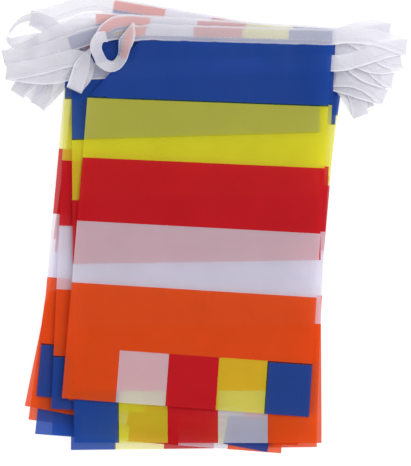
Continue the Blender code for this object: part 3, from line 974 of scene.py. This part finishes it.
def print_at(across, down):
    """The colour of a flag's face at a place across it, as a share, and down from its tape."""
    edge = 0.0
    above = None
    for band in BANDS:
        if down < edge + band.depth:
            return overprint(above, band.colour, down - edge)
        edge += band.depth
        above = band.colour
    cell = cell_at(across)
    inside = (across - CELL_ENDS[cell - 1]) * FLAG_HEM if cell else across * FLAG_HEM
    colour = overprint(above, CELLS_ACROSS[cell], down - edge)
    if colour == CELLS_ACROSS[cell] and cell > 0:
        colour = overprint(CELLS_ACROSS[cell - 1], colour, inside)
    return colour


def overprint(first, second, past):
    """The colour where two printed areas run over each other for a thread or two."""
    pair = {first, second}
    if past < OVERPRINT and pair in ({"blue", "yellow"}, {"blue", "orange"}):
        return "green edge" if "yellow" in pair else "brown edge"
    return second


def wrinkles(number, across, down, depth):
    """Heights of a flag's soft wrinkles and of the small puckers under its tape."""
    rng = np.random.default_rng(WRINKLE_SEED + number)
    height = np.zeros_like(across)
    for _ in range(WRINKLE.count):
        angle = rng.uniform(0.0, math.pi)
        length = rng.uniform(WRINKLE.short, WRINKLE.long)
        phase = rng.uniform(0.0, 2 * math.pi)
        line = across * math.cos(angle) + down * math.sin(angle)
        height += np.sin(2 * math.pi * line / length + phase) * rng.uniform(*WRINKLE_WEIGHTS)
    height *= depth / WAVE_SUM
    pleats = np.zeros_like(across)
    for _ in range(PLEAT.count):
        length = rng.uniform(PLEAT.short, PLEAT.long)
        phase = rng.uniform(0.0, 2 * math.pi)
        pleats += np.sin(2 * math.pi * across / length + phase)
    return height + PUCKER_DEPTH * pleats / WAVE_SUM * np.exp(-down / PUCKER_FALL)


def flag_sheet(number, depth, step):
    """The part of a flag below its tape: points, faces, colours and places in the weave."""
    low_left, low_right, high_right, high_left = corners(FLAGS[number - 1])
    coarse = settled()[1][number][:, 2].reshape(len(CLOTH_ROWS), len(CLOTH_COLUMNS))
    stops = [0.0, *CELL_ENDS, *(end + OVERPRINT / FLAG_HEM for end in CELL_ENDS[:-1])]
    stops = sorted(stop if number % 2 else 1.0 - stop for stop in stops)
    columns = levels(stops, step / FLAG_HEM)
    rows = levels([*band_stops(), FLAG_DROP], step)
    v = rows / FLAG_DROP
    height = refine(coarse, np.array(CLOTH_ROWS), v)
    height = refine(height.T, np.array(CLOTH_COLUMNS), columns).T + CLOTH / 2
    u, v = np.meshgrid(columns, v)
    down = v
    if number in FOLDED:
        folded = FOLDED[number].side * np.maximum(0.0, 1.0 - u / FOLDED[number].top)
        down = np.where(v < FOLD_REACH, folded + v * (1.0 - folded / FOLD_REACH), v)
    top = high_left + u[..., None] * (high_right - high_left)
    hem = low_left + u[..., None] * (low_right - low_left)
    flat = top + down[..., None] * (hem - top)
    turned = u if number % 2 else 1.0 - u
    across, fall = turned * FLAG_HEM, down * FLAG_DROP
    height = height + wrinkles(number, across, fall, depth)
    points = np.concatenate((flat, height[..., None]), axis=2).reshape(-1, 3)
    faces = grid_cells(len(columns), len(rows))
    places = np.stack((across, fall), axis=2).reshape(-1, 2)
    middles = places[np.array(faces)].mean(axis=1)
    colours = [print_at(a / FLAG_HEM, b) for a, b in middles]
    return points, faces, colours, places


def hem_strip(number, step):
    """The part of a flag that is sewn inside the folded tape."""
    right, width = ribbon()[-1][number], FLAGS[number - 1].top
    way = -1.0 if number % 2 else 1.0  # the tape runs to the right along odd flags
    stops = sorted(stop if number % 2 else 1.0 - stop for stop in (0.0, *CELL_ENDS))
    columns = levels(stops, step / width)
    middle, across, _ = on_ribbon(right + way * (1.0 - columns) * width)
    rows = np.array((HEM_TOP, HEM_TOP + HEM_CELLS / 2, HEM_TOP + HEM_CELLS, TAPE_WIDTH))
    offsets = TAPE_WIDTH / 2 - rows
    points = middle[None] + offsets[:, None, None] * across[None]
    points = points.reshape(-1, 3)
    faces = grid_cells(len(columns), len(rows))
    turned = columns if number % 2 else 1.0 - columns
    a, b = np.meshgrid(turned * width, rows - TAPE_WIDTH)
    places = np.stack((a, b), axis=2).reshape(-1, 2)
    colours = []
    for x, y in places[np.array(faces)].mean(axis=1):
        cell = CELLS_ACROSS[cell_at(x / width)]
        colours.append(cell if y < HEM_TOP + HEM_CELLS - TAPE_WIDTH else "blue")
    return points, faces, colours, places


def ribbon_section():
    """The folded ribbon's section: across and out of the tape, from one lower edge to the other."""
    half, gap = TAPE_WIDTH / 2, RIBBON_GAP
    front = [
        (-half, gap * 0.5),
        (-half + SELVEDGE, gap),
        (-half * 0.4, gap),
        (half * 0.3, gap),
        (half - SELVEDGE, gap),
        (half - SELVEDGE * 0.25, gap * 0.7),
    ]
    back = [(a, -b) for a, b in reversed(front)]
    back[-1] = (-half - 0.25, -gap * 0.6)  # the under layer's edge shows a little
    return np.array([*front, (half, 0.0), *back])


def make_ribbon(materials):
    """The whole header tape: one ribbon folded lengthwise over the tops of the flags."""
    at, middle, across, normal, _ = ribbon()
    section = ribbon_section()
    rng = np.random.default_rng(WRINKLE_SEED)
    ripple = np.zeros((len(at), 2))
    for _ in range(RIBBON_WAVE.count):
        length = rng.uniform(RIBBON_WAVE.short, RIBBON_WAVE.long)
        phase = rng.uniform(0.0, 2 * math.pi, 2)
        ripple += np.sin(2 * math.pi * at[:, None] / length + phase)
    a, b = section[:, 0], section[:, 1]
    slope = (ripple[:, 1] * RIPPLE / WAVE_SUM)[:, None] * a[None] / TAPE_WIDTH
    out = b[None] + slope
    side = a[None] + (ripple[:, 0] * RIPPLE / (2 * WAVE_SUM))[:, None]
    points = middle[:, None] + side[..., None] * across[:, None] + out[..., None] * normal[:, None]
    columns = len(section)
    faces = grid_cells(columns, len(at))
    run = np.concatenate(([0.0], np.cumsum(np.linalg.norm(np.diff(section, axis=0), axis=1))))
    x, y = np.meshgrid(run, at)
    places = np.stack((x, y), axis=2).reshape(-1, 2)
    edges = {0, columns // 2 - 1, columns // 2, columns - 2}
    slots = [1 if index % (columns - 1) in edges else 0 for index in range(len(faces))]
    tape = mesh_piece("header_ribbon", points.reshape(-1, 3), faces, materials, slots, places)
    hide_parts("header_tape")
    return tape, float(at[-1])


def make_stitches(material, settings):
    """Straight stitches through both layers of the ribbon, on both of its faces."""
    at = ribbon()[0]
    length, pitch = settings.stitch, settings.stitch + settings.stitch_gap
    starts = np.arange(pitch, at[-1] - pitch, pitch)
    shares = np.array((0.0, 0.2, 0.8, 1.0))
    sinks = np.array((-0.5, 0.6, 0.6, -0.5)) * settings.thread_width
    radii = np.array((0.4, 1.0, 1.0, 0.4)) * settings.thread_width / 2
    points, faces = [], []
    for side in (1.0, -1.0):
        for start in starts:
            middle, across, normal = on_ribbon(start + shares * length)
            seam = middle - across * (TAPE_WIDTH / 2 - SEAM_INSET)
            for place, a, n, sink, radius in zip(seam, across, normal, sinks, radii):
                heart = place + side * n * (RIBBON_GAP + sink)
                points += [heart + way * radius for way in (a, n, -a, -n)]
            first = len(points) - 16
            for ring in range(3):
                for corner in range(4):
                    p = first + ring * 4 + corner
                    q = first + ring * 4 + (corner + 1) % 4
                    faces.append((p, q, q + 4, p + 4))
            faces.append((first + 3, first + 2, first + 1, first))
            faces.append((first + 12, first + 13, first + 14, first + 15))
    thread = mesh_piece("tape_stitching", points, faces, [material])
    return thread


def number_setting(name, description, default, least, most, unit="NONE"):
    return bpy.props.FloatProperty(
        name=name, description=description, default=default, min=least, max=most, unit=unit
    )


def colour_setting(name, description, code):
    return bpy.props.FloatVectorProperty(
        name=name, description=description, subtype="COLOR", default=linear(code), min=0, max=1
    )


class FlagClothSettings(bpy.types.PropertyGroup):
    """The flags' cloth and print."""

    pitch: number_setting(
        "Thread pitch", "Spacing of the threads as drawn, in millimetres",
        1.1, 0.2, 3.0,
    )
    thread: number_setting(
        "Thread depth", "Depth of the weave's relief, in millimetres",
        0.06, 0.0, 0.5,
    )
    wrinkle: number_setting(
        "Wrinkle depth", "Height of the soft wrinkles in the flags, in millimetres",
        0.22, 0.0, 1.0,
    )
    top_wrinkle: number_setting(
        "Top flag's wrinkle depth",
        "Height of the wrinkles in the top flag, which nothing lies on, in millimetres",
        0.5, 0.0, 2.0,
    )
    step: number_setting(
        "Mesh step", "Largest spacing of a flag's points, in millimetres",
        2.8, 1.0, 10.0,
    )


class PrintSettings(bpy.types.PropertyGroup):
    """The printed colours."""

    blue: colour_setting("Blue", "Blue print", "2050ae")
    yellow: colour_setting("Yellow", "Yellow print", "eae52e")
    red: colour_setting("Red", "Red print", "cc0418")
    white: colour_setting("White", "Unprinted cloth", "e6e4f2")
    orange: colour_setting("Orange", "Orange print", "ea5006")
    tape: colour_setting("Tape", "White ribbon", "eae9f0")
    selvedge: colour_setting("Selvedge", "Ribbon's dense edges", "f4f3f8")
    thread: colour_setting("Thread", "Sewing thread", "dedde6")


class SewingSettings(bpy.types.PropertyGroup):
    """The ribbon's seam."""

    stitch: number_setting(
        "Stitch length", "Length of one stitch, in millimetres",
        2.6, 1.0, 6.0,
    )
    stitch_gap: number_setting(
        "Stitch gap", "Space between two stitches, in millimetres",
        0.3, 0.1, 2.0,
    )
    thread_width: number_setting(
        "Thread width", "Width of the sewing thread, in millimetres",
        0.15, 0.1, 1.0,
    )


class StageSettings(bpy.types.PropertyGroup):
    """The floor, the light and the camera."""

    floor: colour_setting("Floor", "Colour of the floor", "a4a4a6")
    floor_glow: number_setting(
        "Floor glow", "Strength of the light from inside the floor",
        0.8, 0.0, 5.0,
    )
    sky: number_setting(
        "Sky", "Strength of the even light from all sides",
        0.75, 0.0, 5.0,
    )
    lamp: number_setting(
        "Lamp", "Power of the large soft lamp",
        14.0, 0.0, 200.0, "POWER",
    )
    distance: number_setting(
        "Camera distance", "Height of the camera over the pile",
        2.2, 0.5, 10.0, "LENGTH",
    )


class FLAG_STRING_OT_flags(bpy.types.Operator):
    """Lay the sheer printed flags, each with the strip of its cloth that is sewn into the tape"""

    bl_idname = "flag_string.flags"
    bl_label = "Flags"

    def execute(self, context):
        cloth, colours = context.scene.flag_cloth, context.scene.flag_print
        names = ("blue", "yellow", "red", "white", "orange")
        made = {
            name: cloth_material(
                f"{name} polyester voile",
                tuple(getattr(colours, name)),
                SHEER[name],
                CLOTH_ROUGHNESS,
                cloth.pitch * MM,
                cloth,
            )
            for name in names
        }
        for name, code in OVERPRINTS.items():
            made[f"{name} edge"] = cloth_material(
                f"polyester voile, {name} edge",
                linear(code),
                SHEER["overprint"],
                CLOTH_ROUGHNESS,
                cloth.pitch * MM,
                cloth,
            )
        materials = list(made.values())
        order = {name: index for index, name in enumerate(made)}
        for number in range(1, len(FLAGS) + 1):
            depth = cloth.top_wrinkle if number == 1 else cloth.wrinkle
            points, faces, colours_of, places = flag_sheet(number, depth, cloth.step)
            strip, more, strip_colours, strip_places = hem_strip(number, cloth.step)
            faces = faces + [tuple(i + len(points) for i in face) for face in more]
            points = np.concatenate((points, strip))
            places = np.concatenate((places, strip_places))
            slots = [order[name] for name in (*colours_of, *strip_colours)]
            flag = mesh_piece(f"cloth_{number:02d}", points, faces, materials, slots, places)
            node = f"flag_{number:02d}"
            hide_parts(node)
        return {"FINISHED"}


class FLAG_STRING_OT_tape(bpy.types.Operator):
    """Fold the white ribbon over the tops of the flags and lay its loops, with its stitches"""

    bl_idname = "flag_string.tape"
    bl_label = "Header tape"

    def execute(self, context):
        cloth, colours = context.scene.flag_cloth, context.scene.flag_print
        ribbon_cloth = cloth_material(
            "woven polyester ribbon",
            tuple(colours.tape),
            SHEER["ribbon"],
            RIBBON_ROUGHNESS,
            RIBBON_PITCH * MM,
            cloth,
        )
        selvedge = cloth_material(
            "woven polyester ribbon, selvedge",
            tuple(colours.selvedge),
            SHEER["selvedge"],
            RIBBON_ROUGHNESS,
            RIBBON_PITCH * MM,
            cloth,
        )
        tape, length = make_ribbon([ribbon_cloth, selvedge])
        thread = make_stitches(
            plain_material("spun polyester thread", tuple(colours.thread), THREAD_ROUGHNESS),
            context.scene.flag_sewing,
        )
        return {"FINISHED"}


class FLAG_STRING_OT_stage(bpy.types.Operator):
    """Set up the pale floor, the soft light and the camera"""

    bl_idname = "flag_string.stage"
    bl_label = "Stage"

    def execute(self, context):
        scene, stage = context.scene, context.scene.flag_stage
        mesh = bpy.data.meshes.new("floor")
        size = FLOOR_REACH
        mesh.from_pydata(
            [(-size, -size, 0), (size, -size, 0), (size, size, 0), (-size, size, 0)],
            [],
            [(0, 1, 2, 3)],
        )
        mesh.materials.append(light_table(tuple(stage.floor), stage.floor_glow))
        floor = bpy.data.objects.new("floor", mesh)
        floor.location.z = -FLOOR_DROP
        scene.collection.objects.link(floor)

        world = bpy.data.worlds.new("studio")
        world.use_nodes = True
        sky = world.node_tree.nodes["Background"]
        sky.inputs["Color"].default_value = (1.0, 1.0, 1.0, 1.0)
        sky.inputs["Strength"].default_value = stage.sky
        scene.world = world
        scene.view_settings.view_transform = "Standard"

        lamp = bpy.data.lights.new("soft lamp", "AREA")
        lamp.shape = "DISK"
        lamp.size = LAMP_SIZE
        lamp.energy = stage.lamp
        lamp_object = bpy.data.objects.new("soft lamp", lamp)
        lamp_object.location = LAMP_PLACE
        aim = -lamp_object.location
        lamp_object.rotation_euler = aim.to_track_quat("-Z", "Y").to_euler()
        scene.collection.objects.link(lamp_object)

        camera = bpy.data.cameras.new("camera")
        half = FRAME_HEIGHT / 2 * MM
        camera.sensor_width = SENSOR_MM
        camera.lens = camera.sensor_width / 2 * (stage.distance - PILE_MIDDLE * MM) / half
        camera.clip_end = 50.0
        camera_object = bpy.data.objects.new("camera", camera)
        x, y, _ = shift() * MM
        camera_object.location = (x, y, stage.distance)
        scene.collection.objects.link(camera_object)
        scene.camera = camera_object
        return {"FINISHED"}


class FLAG_STRING_PT_panel(bpy.types.Panel):
    """The flag string's steps and settings"""

    bl_label = "Flag string"
    bl_idname = "FLAG_STRING_PT_panel"
    bl_space_type = "VIEW_3D"
    bl_region_type = "UI"
    bl_category = "Flag string"

    def draw(self, context):
        scene, layout = context.scene, self.layout
        for operator in OPERATORS:
            layout.operator(operator.bl_idname)
        for name, group in SETTINGS.items():
            box = layout.box()
            box.label(text=group.__doc__)
            for key in group.__annotations__:
                box.prop(getattr(scene, name), key)


OPERATORS = (FLAG_STRING_OT_flags, FLAG_STRING_OT_tape, FLAG_STRING_OT_stage)
SETTINGS = {
    "flag_cloth": FlagClothSettings,
    "flag_print": PrintSettings,
    "flag_sewing": SewingSettings,
    "flag_stage": StageSettings,
}


def register():
    for kind in (*SETTINGS.values(), *OPERATORS, FLAG_STRING_PT_panel):
        bpy.utils.register_class(kind)
    for name, group in SETTINGS.items():
        setattr(bpy.types.Scene, name, bpy.props.PointerProperty(type=group))


def unregister():
    for name in SETTINGS:
        delattr(bpy.types.Scene, name)
    for kind in reversed((*SETTINGS.values(), *OPERATORS, FLAG_STRING_PT_panel)):
        bpy.utils.unregister_class(kind)


def main():
    register()
    bpy.ops.flag_string.flags()
    bpy.ops.flag_string.tape()
    bpy.ops.flag_string.stage()


if __name__ == "__main__":
    main()
